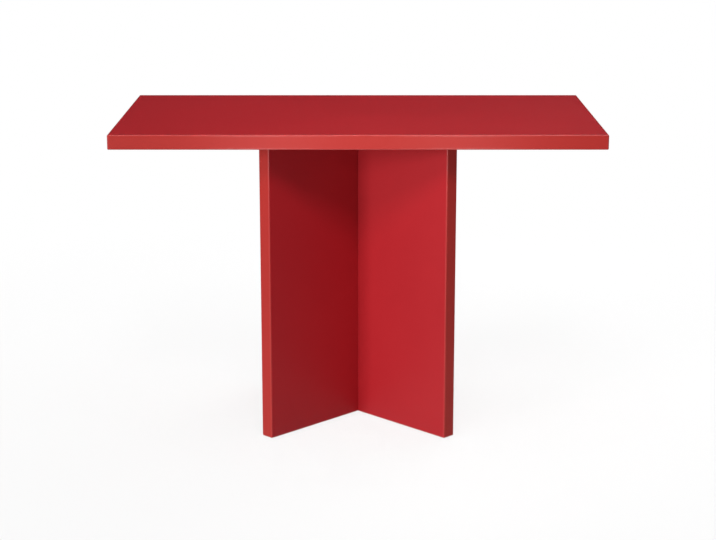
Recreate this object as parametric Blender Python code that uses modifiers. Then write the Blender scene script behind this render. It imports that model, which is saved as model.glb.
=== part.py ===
# Slab dining table: a thick lacquered top on a cross base of two panels that slot into each other.
# Metres, +Z up. The long side runs along X and the front faces -Y. The origin is on the floor, mid-table.

import math

import bmesh
import bpy
from mathutils import Matrix

# Lacquered boards
TOP_WIDTH = 1.100
TOP_DEPTH = 0.600
TOP_THICKNESS = 0.033
TABLE_HEIGHT = 0.730
PANEL_LENGTH = 0.600
PANEL_THICKNESS = 0.033
PANEL_ANGLE = math.radians(45)  # between each panel and the long side
ARRIS = 0.0015  # radius of every eased edge
FLOOR_GAP = 0.002  # the panels' bottom edges stand this far off the floor, on the glides

# Clearances
SEAT = 0.0003  # between pieces that rest on, slot into or turn in each other
OVERCUT = 0.005  # how far a cutter runs past the face that it opens

# Angle brackets, one on each arm of the cross
BRACKET_LENGTH = 0.120
BRACKET_LEG = 0.025
BRACKET_THICKNESS = 0.003
BRACKET_BEND = 0.003  # inside radius of the bend
BRACKET_CORNER = 0.005  # radius of the legs' free corners
BRACKET_REACH = 0.115  # from the middle of the cross to the middle of the bracket

# Button-head machine screws, up through the brackets into the top
BOLT_RADIUS = 0.003
BOLT_HEAD_RADIUS = 0.00525
BOLT_HEAD_HEIGHT = 0.0033
BOLT_CROWN_RADIUS = 0.003  # of the flat on the domed head
BOLT_KEY_FLATS = 0.004
BOLT_KEY_DEPTH = 0.0019
BOLT_SPACING = 0.090
BOLT_SETBACK = 0.0145  # from the bracket's heel
BOLT_TIP_GAP = 0.001  # the tip stops this far short of the insert's end

# Threaded inserts in the underside of the top
INSERT_WALL = 0.0017
INSERT_LENGTH = 0.013
INSERT_FLANGE = 0.0013  # how far the flange stands out from the body
INSERT_FLANGE_HEIGHT = 0.001

# Countersunk wood screws, through the brackets into the panels
SCREW_RADIUS = 0.002
SCREW_HEAD_RADIUS = 0.004
SCREW_POINT = 0.004  # length of the pointed tip
SCREW_SPACING = 0.060
SCREW_DROP = 0.0145  # below the bracket's upper face
SCREW_DOWEL_GAP = 0.0015  # wood left between a screw's tip and the line of the dowels

# Beech dowels between the panels and the top
DOWEL_RADIUS = 0.004
DOWEL_IN_PANEL = 0.020
DOWEL_COVER = 0.013  # board left above the dowel
DOWEL_CHAMFER = 0.001
DOWEL_INSET = 0.045  # from the arm's end

# Levelling glides in the panels' bottom edges
GLIDE_INSET = 0.035  # from the arm's end
PAD_RADIUS = 0.009
PAD_SOLE = 0.002  # thickness under the stud's head
PAD_LIP = 0.0012  # thickness of the lip that holds the head in
PAD_CHAMFER = 0.0012
RECESS_CLEARANCE = 0.0015  # round the pad
HEAD_RADIUS = 0.0045
HEAD_HEIGHT = 0.0028
HEAD_LIP = 0.0015  # how far the head stands out from the neck
COLLAR_FLATS = 0.011
COLLAR_HEIGHT = 0.003
STUD_RADIUS = 0.004
STUD_LENGTH = 0.030  # above the collar
STUD_CHAMFER = 0.001
SLEEVE_WALL = 0.0018  # threaded sleeve in the panel
SLEEVE_LENGTH = 0.013

# Facets of the round pieces, the same on a piece and its hole so that their gap is even
ROUND_STEPS = 16
BEND_STEPS = 4
DOME_STEPS = 3
ARRIS_STEPS = 2
HEX_SIDES = 6
SMOOTH_ANGLE = math.radians(35)
WELD = 0.00001

# Heights that follow from the sizes above
UNDERSIDE = TABLE_HEIGHT - TOP_THICKNESS
PANEL_TOP = UNDERSIDE - SEAT
PANEL_MIDDLE = (PANEL_TOP + FLOOR_GAP) / 2
BRACKET_FACE = PANEL_THICKNESS / 2 + SEAT
HEAD_BOTTOM = PAD_SOLE + SEAT
HEAD_TOP = HEAD_BOTTOM + HEAD_HEIGHT
PAD_HEIGHT = HEAD_TOP + SEAT + PAD_LIP
COLLAR_BOTTOM = PAD_HEIGHT + SEAT
COLLAR_TOP = COLLAR_BOTTOM + COLLAR_HEIGHT
RECESS_ROOF = COLLAR_TOP + SEAT
SLEEVE_TOP = RECESS_ROOF + SLEEVE_LENGTH
STUD_TIP = COLLAR_TOP + STUD_LENGTH

# Radii and lengths that follow from the sizes above
INSERT_BORE = BOLT_RADIUS + SEAT
INSERT_RADIUS = INSERT_BORE + INSERT_WALL
BOLT_LENGTH = BRACKET_THICKNESS + 2 * SEAT + INSERT_LENGTH - BOLT_TIP_GAP
SCREW_LENGTH = BRACKET_THICKNESS + SEAT + PANEL_THICKNESS / 2 - DOWEL_RADIUS - SCREW_DOWEL_GAP
DOWEL_IN_TOP = TOP_THICKNESS - DOWEL_COVER
NECK_RADIUS = HEAD_RADIUS - HEAD_LIP
RECESS_RADIUS = PAD_RADIUS + RECESS_CLEARANCE
SLEEVE_BORE = STUD_RADIUS + SEAT
SLEEVE_RADIUS = SLEEVE_BORE + SLEEVE_WALL

# The direction in which each arm of the cross leaves the middle
ARMS = {
    "front_right": -PANEL_ANGLE,
    "back_right": PANEL_ANGLE,
    "back_left": math.pi - PANEL_ANGLE,
    "front_left": math.pi + PANEL_ANGLE,
}
ARMS_SLOTTED_ABOVE = ("back_right", "front_left")  # the other two belong to the panel slotted from below


def collection(name, parent):
    made = bpy.data.collections.new(name)
    parent.children.link(made)
    return made


def material(name, colour, roughness, metallic):
    made = bpy.data.materials.new(name)
    made.use_nodes = True
    shader = made.node_tree.nodes["Principled BSDF"]
    shader.inputs["Base Color"].default_value = (*colour, 1)
    shader.inputs["Roughness"].default_value = roughness
    shader.inputs["Metallic"].default_value = metallic
    made.diffuse_color = (*colour, 1)
    return made


def baked(template):
    # The shape of an object with its modifiers, smooth where it is round, without the object.
    graph = bpy.context.evaluated_depsgraph_get()
    mesh = bpy.data.meshes.new_from_object(template.evaluated_get(graph))
    mesh.shade_smooth()
    mesh.set_sharp_from_angle(angle=SMOOTH_ANGLE)
    bpy.data.objects.remove(template)
    return mesh


def loose(mesh):
    # An object to put modifiers on before it is baked.
    made = bpy.data.objects.new(mesh.name, mesh)
    bpy.context.scene.collection.objects.link(made)
    return made


def turned(profile, ring=False):
    # Turns (radius, height) points about Z: down the outer side and, on a ring, back up its bore.
    shape = bmesh.new()
    points = [shape.verts.new((radius, 0, height)) for radius, height in profile]
    for upper, lower in zip(points, points[1:]):
        shape.edges.new((upper, lower))
    if ring:
        shape.edges.new((points[-1], points[0]))
    mesh = bpy.data.meshes.new("profile")
    shape.to_mesh(mesh)
    shape.free()
    template = loose(mesh)
    turn = template.modifiers.new("Turn", "SCREW")
    turn.steps = ROUND_STEPS
    turn.render_steps = ROUND_STEPS
    turn.use_merge_vertices = True
    turn.merge_threshold = WELD
    return baked(template)


def hexagon(flats, bottom, top):
    # A six-sided prism, by its width across flats.
    shape = bmesh.new()
    radius = flats / 2 / math.cos(math.pi / HEX_SIDES)
    bmesh.ops.create_cone(
        shape,
        cap_ends=True,
        segments=HEX_SIDES,
        radius1=radius,
        radius2=radius,
        depth=top - bottom,
        matrix=Matrix.Translation((0, 0, (bottom + top) / 2)),
    )
    mesh = bpy.data.meshes.new("hexagon")
    shape.to_mesh(mesh)
    shape.free()
    return mesh


def combined(mesh, other, operation):
    # One mesh joined to, or cut by, another.
    tool = loose(other)
    template = loose(mesh)
    join = template.modifiers.new("Join", "BOOLEAN")
    join.operation = operation
    join.object = tool
    made = baked(template)
    bpy.data.objects.remove(tool)
    return made


def box(length, width, height):
    shape = bmesh.new()
    bmesh.ops.create_cube(shape, size=1, matrix=Matrix.Diagonal((length, width, height, 1)))
    mesh = bpy.data.meshes.new("box")
    shape.to_mesh(mesh)
    shape.free()
    return mesh


def bent_sheet():
    # The bracket's outer face, from its edge under the top, round the heel, to its edge on the panel.
    outer = BRACKET_BEND + BRACKET_THICKNESS
    path = [(BRACKET_LEG, 0)]
    for step in range(BEND_STEPS + 1):
        turn = math.pi / 2 * (1 + step / BEND_STEPS)
        path.append((outer + outer * math.cos(turn), -outer + outer * math.sin(turn)))
    path.append((0, -BRACKET_LEG))

    shape = bmesh.new()
    points = [shape.verts.new((-BRACKET_LENGTH / 2, side, height)) for side, height in path]
    edges = [shape.edges.new(pair) for pair in zip(points, points[1:])]
    swept = bmesh.ops.extrude_edge_only(shape, edges=edges)["geom"]
    far = [item for item in swept if isinstance(item, bmesh.types.BMVert)]
    bmesh.ops.translate(shape, verts=far, vec=(BRACKET_LENGTH, 0, 0))
    corners = [vert for vert in shape.verts if len(vert.link_edges) == 2]
    bmesh.ops.bevel(
        shape,
        geom=corners,
        offset=BRACKET_CORNER,
        segments=BEND_STEPS,
        profile=0.5,
        affect="VERTICES",
    )
    mesh = bpy.data.meshes.new("bent_sheet")
    shape.to_mesh(mesh)
    shape.free()
    return mesh


def put(made, place, parent=None, location=(0, 0, 0), rotation=(0, 0, 0)):
    place.objects.link(made)
    made.parent = parent
    made.location = location
    made.rotation_euler = rotation
    return made


def piece(name, mesh, finish, parent=None, location=(0, 0, 0), rotation=(0, 0, 0)):
    made = bpy.data.objects.new(name, mesh)
    if not mesh.materials:
        mesh.materials.append(finish)
    return put(made, parts, parent, location, rotation)


def cutter(name, mesh, targets, parent=None, location=(0, 0, 0), rotation=(0, 0, 0)):
    # A hidden tool, listed with each board or bracket that it cuts.
    made = bpy.data.objects.new(name, mesh)
    made.hide_render = True
    made.display_type = "WIRE"
    put(made, targets[0], parent, location, rotation)
    for target in targets[1:]:
        target.objects.link(made)


def cut(made, tools):
    tool = made.modifiers.new("Cuts", "BOOLEAN")
    tool.operation = "DIFFERENCE"
    tool.operand_type = "COLLECTION"
    tool.collection = tools


def board(name, length, width, height, finish, location, turn=0):
    made = piece(name, box(length, width, height), finish, None, location, (0, 0, turn))
    ease = made.modifiers.new("Arris", "BEVEL")
    ease.width = ARRIS
    ease.segments = ARRIS_STEPS
    return made


def bolt_mesh():
    # Hangs from its seat at z = 0: the head below, the shank above.
    profile = [
        (0, BOLT_LENGTH),
        (BOLT_RADIUS, BOLT_LENGTH),
        (BOLT_RADIUS, 0),
        (BOLT_HEAD_RADIUS, 0),
    ]
    for step in range(1, DOME_STEPS + 1):
        turn = math.pi / 2 * step / DOME_STEPS
        radius = BOLT_CROWN_RADIUS + (BOLT_HEAD_RADIUS - BOLT_CROWN_RADIUS) * math.cos(turn)
        profile.append((radius, -BOLT_HEAD_HEIGHT * math.sin(turn)))
    profile.append((0, -BOLT_HEAD_HEIGHT))
    key = hexagon(BOLT_KEY_FLATS, -BOLT_HEAD_HEIGHT - OVERCUT, -BOLT_HEAD_HEIGHT + BOLT_KEY_DEPTH)
    return combined(turned(profile), key, "DIFFERENCE")


def bolt_hole_mesh():
    return turned(
        [
            (0, OVERCUT),
            (INSERT_BORE, OVERCUT),
            (INSERT_BORE, -BRACKET_THICKNESS - OVERCUT),
            (0, -BRACKET_THICKNESS - OVERCUT),
        ]
    )


def insert_mesh():
    # Stands in the top from z = 0, its flange flush with the underside.
    flange = INSERT_RADIUS + INSERT_FLANGE
    return turned(
        [
            (INSERT_RADIUS, INSERT_LENGTH),
            (INSERT_RADIUS, INSERT_FLANGE_HEIGHT),
            (flange, INSERT_FLANGE_HEIGHT),
            (flange, 0),
            (INSERT_BORE, 0),
            (INSERT_BORE, INSERT_LENGTH),
        ],
        ring=True,
    )


def insert_hole_mesh():
    flange = INSERT_RADIUS + INSERT_FLANGE + SEAT
    return turned(
        [
            (0, INSERT_LENGTH + SEAT),
            (INSERT_RADIUS + SEAT, INSERT_LENGTH + SEAT),
            (INSERT_RADIUS + SEAT, INSERT_FLANGE_HEIGHT + SEAT),
            (flange, INSERT_FLANGE_HEIGHT + SEAT),
            (flange, -OVERCUT),
            (0, -OVERCUT),
        ]
    )


def screw_mesh():
    # The flat of the head is at z = 0, and the tip points down.
    return turned(
        [
            (0, 0),
            (SCREW_HEAD_RADIUS, 0),
            (SCREW_RADIUS, SCREW_RADIUS - SCREW_HEAD_RADIUS),
            (SCREW_RADIUS, SCREW_POINT - SCREW_LENGTH),
            (0, -SCREW_LENGTH),
        ]
    )


def screw_hole_mesh():
    return turned(
        [
            (0, OVERCUT),
            (SCREW_HEAD_RADIUS + SEAT, OVERCUT),
            (SCREW_HEAD_RADIUS + SEAT, 0),
            (SCREW_RADIUS + SEAT, SCREW_RADIUS - SCREW_HEAD_RADIUS),
            (SCREW_RADIUS + SEAT, -SCREW_LENGTH - SEAT),
            (0, -SCREW_LENGTH - SEAT),
        ]
    )


def dowel_mesh(clearance=0):
    # Stands across z = 0, where the panel meets the top. Its hole has the same form, with a clearance.
    radius = DOWEL_RADIUS + clearance
    top = DOWEL_IN_TOP + clearance
    bottom = -DOWEL_IN_PANEL - clearance
    return turned(
        [
            (0, top),
            (radius - DOWEL_CHAMFER, top),
            (radius, top - DOWEL_CHAMFER),
            (radius, bottom + DOWEL_CHAMFER),
            (radius - DOWEL_CHAMFER, bottom),
            (0, bottom),
        ]
    )


def sleeve_mesh():
    return turned(
        [
            (SLEEVE_RADIUS, SLEEVE_TOP),
            (SLEEVE_RADIUS, RECESS_ROOF),
            (SLEEVE_BORE, RECESS_ROOF),
            (SLEEVE_BORE, SLEEVE_TOP),
        ],
        ring=True,
    )


def stud_mesh():
    # From its chamfered tip down through the collar to the head that the pad holds.
    shaft = turned(
        [
            (0, STUD_TIP),
            (STUD_RADIUS - STUD_CHAMFER, STUD_TIP),
            (STUD_RADIUS, STUD_TIP - STUD_CHAMFER),
            (STUD_RADIUS, COLLAR_TOP - COLLAR_HEIGHT / 2),
            (NECK_RADIUS, COLLAR_TOP - COLLAR_HEIGHT / 2),
            (NECK_RADIUS, HEAD_TOP),
            (HEAD_RADIUS, HEAD_TOP),
            (HEAD_RADIUS, HEAD_BOTTOM),
            (0, HEAD_BOTTOM),
        ]
    )
    return combined(shaft, hexagon(COLLAR_FLATS, COLLAR_BOTTOM, COLLAR_TOP), "UNION")


def pad_mesh():
    # A cup with an inward lip, which snaps over the stud's head.
    mouth = NECK_RADIUS + SEAT
    pocket = HEAD_RADIUS + SEAT
    return turned(
        [
            (mouth, PAD_HEIGHT),
            (PAD_RADIUS - PAD_CHAMFER, PAD_HEIGHT),
            (PAD_RADIUS, PAD_HEIGHT - PAD_CHAMFER),
            (PAD_RADIUS, PAD_CHAMFER),
            (PAD_RADIUS - PAD_CHAMFER, 0),
            (0, 0),
            (0, PAD_SOLE),
            (pocket, PAD_SOLE),
            (pocket, HEAD_TOP + SEAT),
            (mouth, HEAD_TOP + SEAT),
        ],
        ring=True,
    )


def glide_hole_mesh():
    # The recess for the pad and collar, the seat of the sleeve and the bore for the stud's tip.
    return turned(
        [
            (0, STUD_TIP + SEAT),
            (SLEEVE_BORE, STUD_TIP + SEAT),
            (SLEEVE_BORE, SLEEVE_TOP + SEAT),
            (SLEEVE_RADIUS + SEAT, SLEEVE_TOP + SEAT),
            (SLEEVE_RADIUS + SEAT, RECESS_ROOF),
            (RECESS_RADIUS, RECESS_ROOF),
            (RECESS_RADIUS, FLOOR_GAP - OVERCUT),
            (0, FLOOR_GAP - OVERCUT),
        ]
    )


def clear_scene():
    for old in list(bpy.data.objects):
        bpy.data.objects.remove(old, do_unlink=True)


clear_scene()
parts = collection("slab_dining_table", bpy.context.scene.collection)
tools = collection("slab_dining_table_cutters", bpy.context.scene.collection)
top_tools = collection("top_cuts", tools)
panel_tools = {
    "above": collection("panel_slotted_above_cuts", tools),
    "below": collection("panel_slotted_below_cuts", tools),
}

lacquer = material("red_lacquer", (0.38, 0.019, 0.022), 0.35, 0)
zinc = material("zinc_plated_steel", (0.58, 0.59, 0.60), 0.35, 1)
beech = material("beech", (0.60, 0.42, 0.25), 0.6, 0)
nylon = material("black_nylon", (0.02, 0.02, 0.022), 0.5, 0)

# The top, and the two panels that cross under its middle
table_top = board(
    "table_top", TOP_WIDTH, TOP_DEPTH, TOP_THICKNESS, lacquer, (0, 0, UNDERSIDE + TOP_THICKNESS / 2)
)
cut(table_top, top_tools)
panel_height = PANEL_TOP - FLOOR_GAP
panel_turns = {"above": PANEL_ANGLE, "below": -PANEL_ANGLE}
for slot, turn in panel_turns.items():
    panel = board(
        "cross_panel_slotted_" + slot,
        PANEL_LENGTH,
        PANEL_THICKNESS,
        panel_height,
        lacquer,
        (0, 0, PANEL_MIDDLE),
        turn,
    )
    cut(panel, panel_tools[slot])

# Each slot is the other panel's path, and ends half way up
slot_height = PANEL_TOP - PANEL_MIDDLE + SEAT / 2 + OVERCUT
slot_offset = slot_height / 2 - SEAT / 2
slot_box = box(PANEL_LENGTH, PANEL_THICKNESS + 2 * SEAT, slot_height)
for slot, other, sign in (("above", "below", 1), ("below", "above", -1)):
    cutter(
        "slot_from_" + slot,
        slot_box,
        [panel_tools[slot]],
        None,
        (0, 0, PANEL_MIDDLE + sign * slot_offset),
        (0, 0, panel_turns[other]),
    )

# Fittings, laid out along each arm: x runs outwards, y to its left and z up
sheet = bent_sheet()
bolt = bolt_mesh()
bolt_hole = bolt_hole_mesh()
insert = insert_mesh()
insert_hole = insert_hole_mesh()
screw = screw_mesh()
screw_hole = screw_hole_mesh()
dowel = dowel_mesh()
dowel_hole = dowel_mesh(SEAT)
sleeve = sleeve_mesh()
stud = stud_mesh()
pad = pad_mesh()
glide_hole = glide_hole_mesh()

for arm, turn in ARMS.items():
    axis = put(bpy.data.objects.new("arm_" + arm, None), parts, None, (0, 0, 0), (0, 0, turn))
    panel_cuts = panel_tools["above" if arm in ARMS_SLOTTED_ABOVE else "below"]
    bracket_cuts = collection("bracket_" + arm + "_cuts", tools)

    bracket_seat = (BRACKET_REACH, BRACKET_FACE, PANEL_TOP)
    bracket = piece("angle_bracket_" + arm, sheet, zinc, axis, bracket_seat)
    thicken = bracket.modifiers.new("Thickness", "SOLIDIFY")
    thicken.thickness = BRACKET_THICKNESS
    thicken.offset = 1
    thicken.use_even_offset = True
    cut(bracket, bracket_cuts)

    for number, side in ((1, -1), (2, 1)):
        tag = arm + "_" + str(number)
        bolt_x = BRACKET_REACH + side * BOLT_SPACING / 2
        bolt_y = BRACKET_FACE + BOLT_SETBACK
        bolt_seat = PANEL_TOP - BRACKET_THICKNESS - SEAT
        piece("bracket_bolt_" + tag, bolt, zinc, axis, (bolt_x, bolt_y, bolt_seat))
        cutter("bolt_hole_" + tag, bolt_hole, [bracket_cuts], axis, (bolt_x, bolt_y, PANEL_TOP))
        piece("top_insert_" + tag, insert, zinc, axis, (bolt_x, bolt_y, UNDERSIDE))
        cutter("insert_hole_" + tag, insert_hole, [top_tools], axis, (bolt_x, bolt_y, UNDERSIDE))

        screw_x = BRACKET_REACH + side * SCREW_SPACING / 2
        screw_place = (screw_x, BRACKET_FACE + BRACKET_THICKNESS, PANEL_TOP - SCREW_DROP)
        into_panel = (-math.pi / 2, 0, 0)
        piece("bracket_screw_" + tag, screw, zinc, axis, screw_place, into_panel)
        cutter("screw_hole_" + tag, screw_hole, [bracket_cuts, panel_cuts], axis, screw_place, into_panel)

    dowel_place = (PANEL_LENGTH / 2 - DOWEL_INSET, 0, UNDERSIDE)
    piece("dowel_" + arm, dowel, beech, axis, dowel_place)
    cutter("dowel_hole_" + arm, dowel_hole, [top_tools, panel_cuts], axis, dowel_place)

    glide_place = (PANEL_LENGTH / 2 - GLIDE_INSET, 0, 0)
    piece("glide_sleeve_" + arm, sleeve, zinc, axis, glide_place)
    piece("glide_stud_" + arm, stud, zinc, axis, glide_place)
    piece("glide_pad_" + arm, pad, nylon, axis, glide_place)
    cutter("glide_hole_" + arm, glide_hole, [panel_cuts], axis, glide_place)
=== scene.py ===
import math

import bmesh
import bpy
from mathutils import Matrix, Vector


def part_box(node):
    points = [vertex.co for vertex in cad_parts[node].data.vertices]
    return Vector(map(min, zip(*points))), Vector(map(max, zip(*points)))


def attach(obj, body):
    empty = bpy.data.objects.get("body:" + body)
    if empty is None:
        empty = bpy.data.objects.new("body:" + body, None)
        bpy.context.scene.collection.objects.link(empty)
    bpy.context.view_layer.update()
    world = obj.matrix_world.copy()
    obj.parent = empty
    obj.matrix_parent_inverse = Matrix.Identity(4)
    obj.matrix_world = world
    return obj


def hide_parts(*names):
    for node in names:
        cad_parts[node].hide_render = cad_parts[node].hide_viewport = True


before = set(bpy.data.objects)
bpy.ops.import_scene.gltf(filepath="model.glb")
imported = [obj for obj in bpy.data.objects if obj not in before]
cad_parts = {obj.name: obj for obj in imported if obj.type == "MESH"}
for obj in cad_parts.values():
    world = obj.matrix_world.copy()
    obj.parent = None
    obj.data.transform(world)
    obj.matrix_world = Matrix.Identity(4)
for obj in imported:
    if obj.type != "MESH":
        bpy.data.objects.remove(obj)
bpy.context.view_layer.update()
print("frame loaded with", len(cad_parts), "nodes")

arms = ("front_right", "back_right", "back_left", "front_left")
fastenerNumbers = (1, 2)     # each bracket has two bolts, two inserts and two screws
seat = 0.0003                # clearance between pieces that fit, in metres like every length here
overcut = 0.004              # how far a cutter runs past the face that it opens
weld = 1e-6                  # points this close become one
near = 10 * weld             # points this close count as level with each other
smoothAngle = math.radians(38)
fullTurn = 2 * math.pi
white = (1, 1, 1, 1)
noiseMean = 0.5


# Shader sums

class Value:
    # a socket that takes part in sums, so that each sum adds its Math node
    def __init__(self, maker, socket):
        self.maker = maker
        self.socket = socket

    def mathNode(self, operation, *values):
        return self.maker.node("ShaderNodeMath", {"operation": operation}, values)

    def __add__(self, other):
        return self.mathNode("ADD", self, other)

    def __sub__(self, other):
        return self.mathNode("SUBTRACT", self, other)

    def __rsub__(self, other):
        return self.mathNode("SUBTRACT", other, self)

    def __mul__(self, other):
        return self.mathNode("MULTIPLY", self, other)

    def __abs__(self):
        return self.mathNode("ABSOLUTE", self)

    def least(self, other):
        return self.mathNode("MINIMUM", self, other)

    def greatest(self, other):
        return self.mathNode("MAXIMUM", self, other)

    __radd__ = __add__
    __rmul__ = __mul__


class NodeMaker:
    def __init__(self, tree):
        self.tree = tree

    def node(self, kind, settings=None, inputs=(), output=0):
        made = self.tree.nodes.new(kind)
        for name, setting in (settings or {}).items():
            setattr(made, name, setting)
        self.feed(made, inputs)
        if isinstance(output, tuple):
            return [Value(self, made.outputs[one]) for one in output]
        return Value(self, made.outputs[output])

    def feed(self, made, inputs):
        pairs = inputs.items() if isinstance(inputs, dict) else enumerate(inputs)
        for key, value in pairs:
            if isinstance(value, Value):
                self.tree.links.new(value.socket, made.inputs[key])
            else:
                made.inputs[key].default_value = value

    def objectPlace(self, centre=(0, 0, 0), turn=0, scale=(1, 1, 1)):
        place = self.node("ShaderNodeTexCoord", output="Object")
        settings = {"vector_type": "TEXTURE"}
        return self.node(
            "ShaderNodeMapping",
            settings,
            {"Vector": place, "Location": centre, "Rotation": (0, 0, turn), "Scale": scale},
        )

    def noise(self, place, scale, detail=2.0, roughness=0.5):
        sockets = {"Vector": place, "Scale": scale, "Detail": detail, "Roughness": roughness}
        return self.node("ShaderNodeTexNoise", {}, sockets)

    def ramp(self, value, start, end):             # 0 at start, 1 at end, smooth between
        sockets = {"Value": value, "From Min": start, "From Max": end}
        return self.node("ShaderNodeMapRange", {"interpolation_type": "SMOOTHSTEP"}, sockets)

    def mixColour(self, share, first, second):     # sockets by number, because their names repeat
        return self.node("ShaderNodeMix", {"data_type": "RGBA"}, {0: share, 6: first, 7: second}, 2)

    def bump(self, height, strength=1.0):          # height in metres
        sockets = {"Height": height, "Distance": 1.0, "Strength": strength}
        return self.node("ShaderNodeBump", {}, sockets, "Normal")

    def seenDirectly(self):                        # rays that show the white surround, also in metal
        names = ("Is Camera Ray", "Is Glossy Ray", "Is Transmission Ray")
        camera, glossy, through = self.node("ShaderNodeLightPath", output=names)
        return camera.greatest(glossy).greatest(through)


def newFinish(name):
    finish = bpy.data.materials.new(name)
    finish.use_nodes = True
    return finish, NodeMaker(finish.node_tree)


def setShader(maker, sockets):
    maker.feed(maker.tree.nodes["Principled BSDF"], sockets)


# Finishes

lacquer = {
    "colour": (0.385, 0.0092, 0.0145, 1),
    "deepColour": (0.365, 0.0081, 0.0134, 1),
    "sideReflectionColour": (0.385, 0.0200, 0.0155, 1),      # painted reflection: the narrow sides are painted warmer and lighter for the reflection they catch
    # painted highlight: the arrises are painted a lighter red, as where light catches them
    "highlitRubColour": (0.415, 0.022, 0.019, 1),
    "roughness": 0.47,
    "specular": 0.38,
    "cloud": {"scale": 3.1, "detail": 3},          # slow drift of the sprayed colour, waves to the metre
    "cloudRange": (0.3, 0.7),
    "cloudRoughness": 0.06,
    "peel": {"scale": 310, "detail": 1},           # orange peel
    "peelDepth": 0.00005,
    "grain": {"scale": 2300, "detail": 0},         # dust-fine spray texture
    "grainRoughness": 0.05,
    "sideRange": (0.0004, 0.0012),                 # a narrow side's painted reflection colour ends this far in from it
    "coreRange": (0.004, 0.008),                   # the board's softer core starts this far from its faces
    "coreRoughness": 0.04,
    "coreDepth": 0.00004,
    "fibre": {"scale": 640, "detail": 4, "roughness": 0.7},
    "wornAndHighlitWidth": 0.0052,                            # polished arrises, also painted lighter as a highlight
    "wornAndHighlitNoise": {"scale": 55, "detail": 3},
    "wornAndHighlitEven": 0.8,
    "wornAndHighlitPatchy": 0.2,
    "rubPolish": 0.12,
    "polishRoughness": 0.30,
}


def lacquerFinish(name, low, high, turn=0):
    finish, maker = newFinish(name)
    centre = (low + high) / 2
    half = (high - low) / 2
    middle = Matrix.Rotation(turn, 4, "Z") @ centre
    place = maker.objectPlace(middle, turn)
    along = maker.node("ShaderNodeSeparateXYZ", {}, [place], ("X", "Y", "Z"))
    gaps = [size - abs(step) for size, step in zip(half, along)]   # how far in from each pair of faces
    edge = (gaps[0] + gaps[1]).least(gaps[1] + gaps[2]).least(gaps[0] + gaps[2])

    cloud = maker.noise(place, **lacquer["cloud"])
    peel = maker.noise(place, **lacquer["peel"])
    grain = maker.noise(place, **lacquer["grain"])
    patches = lacquer["wornAndHighlitEven"] + lacquer["wornAndHighlitPatchy"] * maker.noise(place, **lacquer["wornAndHighlitNoise"])
    # the arris band: real polish in roughness and coat, and a painted highlight in the base colour
    wornAndHighlit = (1 - maker.ramp(edge, 0, lacquer["wornAndHighlitWidth"])) * patches

    thin = min(range(3), key=lambda axis: half[axis])              # across the board's thickness
    wide = [gaps[axis] for axis in range(3) if axis != thin]
    narrowSide = 1 - maker.ramp(wide[0].least(wide[1]), *lacquer["sideRange"])
    core = narrowSide * maker.ramp(gaps[thin], *lacquer["coreRange"])
    fibre = maker.noise(place, **lacquer["fibre"])

    share = maker.ramp(cloud, *lacquer["cloudRange"])
    drift = maker.mixColour(share, lacquer["deepColour"], lacquer["colour"])
    # painted reflection: the narrow sides take a warmer, lighter colour
    coatWithSideReflection = maker.mixColour(narrowSide, drift, lacquer["sideReflectionColour"])
    height = peel * lacquer["peelDepth"] + core * fibre * lacquer["coreDepth"]
    roughness = (
        lacquer["roughness"]
        + lacquer["cloudRoughness"] * (cloud - noiseMean)
        + lacquer["grainRoughness"] * (grain - noiseMean)
        + lacquer["coreRoughness"] * core
        - lacquer["rubPolish"] * wornAndHighlit
    )
    setShader(maker, {
        "Base Color": maker.mixColour(wornAndHighlit, coatWithSideReflection, lacquer["highlitRubColour"]),
        "Roughness": roughness,
        "Specular IOR Level": lacquer["specular"],
        "Coat Weight": wornAndHighlit,
        "Coat Roughness": lacquer["polishRoughness"],
        "Normal": maker.bump(height),
    })
    return finish


zinc = {
    "coolColour": (0.50, 0.54, 0.58, 1),
    "warmColour": (0.60, 0.575, 0.50, 1),
    "roughness": 0.34,
    "tint": {"scale": 38, "detail": 3, "roughness": 0.6},
    "tintRange": (0.35, 0.65),
    "tintRoughness": 0.12,
    "brush": {"scale": 900},
    "brushHeight": 0.06,                           # fine lines that lie flat
    "brushRoughness": 0.16,
    "brushDepth": 0.00002,
    "brushStrength": 0.6,
    "spot": {"scale": 420},                        # small dull spots
    "spotRange": (0.6, 0.75),
    "spotDulling": 0.04,
    "spotRoughness": 0.05,
}


def zincFinish(name):
    finish, maker = newFinish(name)
    place = maker.objectPlace()
    brushed = maker.objectPlace(scale=(1, 1, zinc["brushHeight"]))
    tint = maker.noise(place, **zinc["tint"])
    lines = maker.noise(brushed, **zinc["brush"])
    spots = maker.ramp(maker.noise(place, **zinc["spot"]), *zinc["spotRange"])
    share = maker.ramp(tint, *zinc["tintRange"])
    roughness = (
        zinc["roughness"]
        + zinc["brushRoughness"] * (lines - noiseMean)
        + zinc["tintRoughness"] * (tint - noiseMean)
        + zinc["spotRoughness"] * spots
    )
    setShader(maker, {
        "Base Color": maker.mixColour(share, zinc["coolColour"], zinc["warmColour"]),
        "Metallic": 1 - zinc["spotDulling"] * spots,
        "Roughness": roughness,
        "Normal": maker.bump(lines * zinc["brushDepth"], zinc["brushStrength"]),
    })
    return finish


beech = {
    "paleColour": (0.63, 0.44, 0.27, 1),
    "darkColour": (0.46, 0.285, 0.15, 1),
    "fleckColour": (0.36, 0.20, 0.10, 1),
    "roughness": 0.62,
    "grain": {"scale": 420, "detail": 4, "roughness": 0.6},
    "grainLength": 14,                             # the grain runs up the dowel
    "grainRange": (0.35, 0.65),
    "grainRoughness": 0.15,
    "grainDepth": 0.00012,
    "grainStrength": 0.7,
    "fleck": {"scale": 1100, "detail": 1},
    "fleckLength": 4,
    "fleckRange": (0.64, 0.72),
    "fleckShare": 0.7,
}


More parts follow.
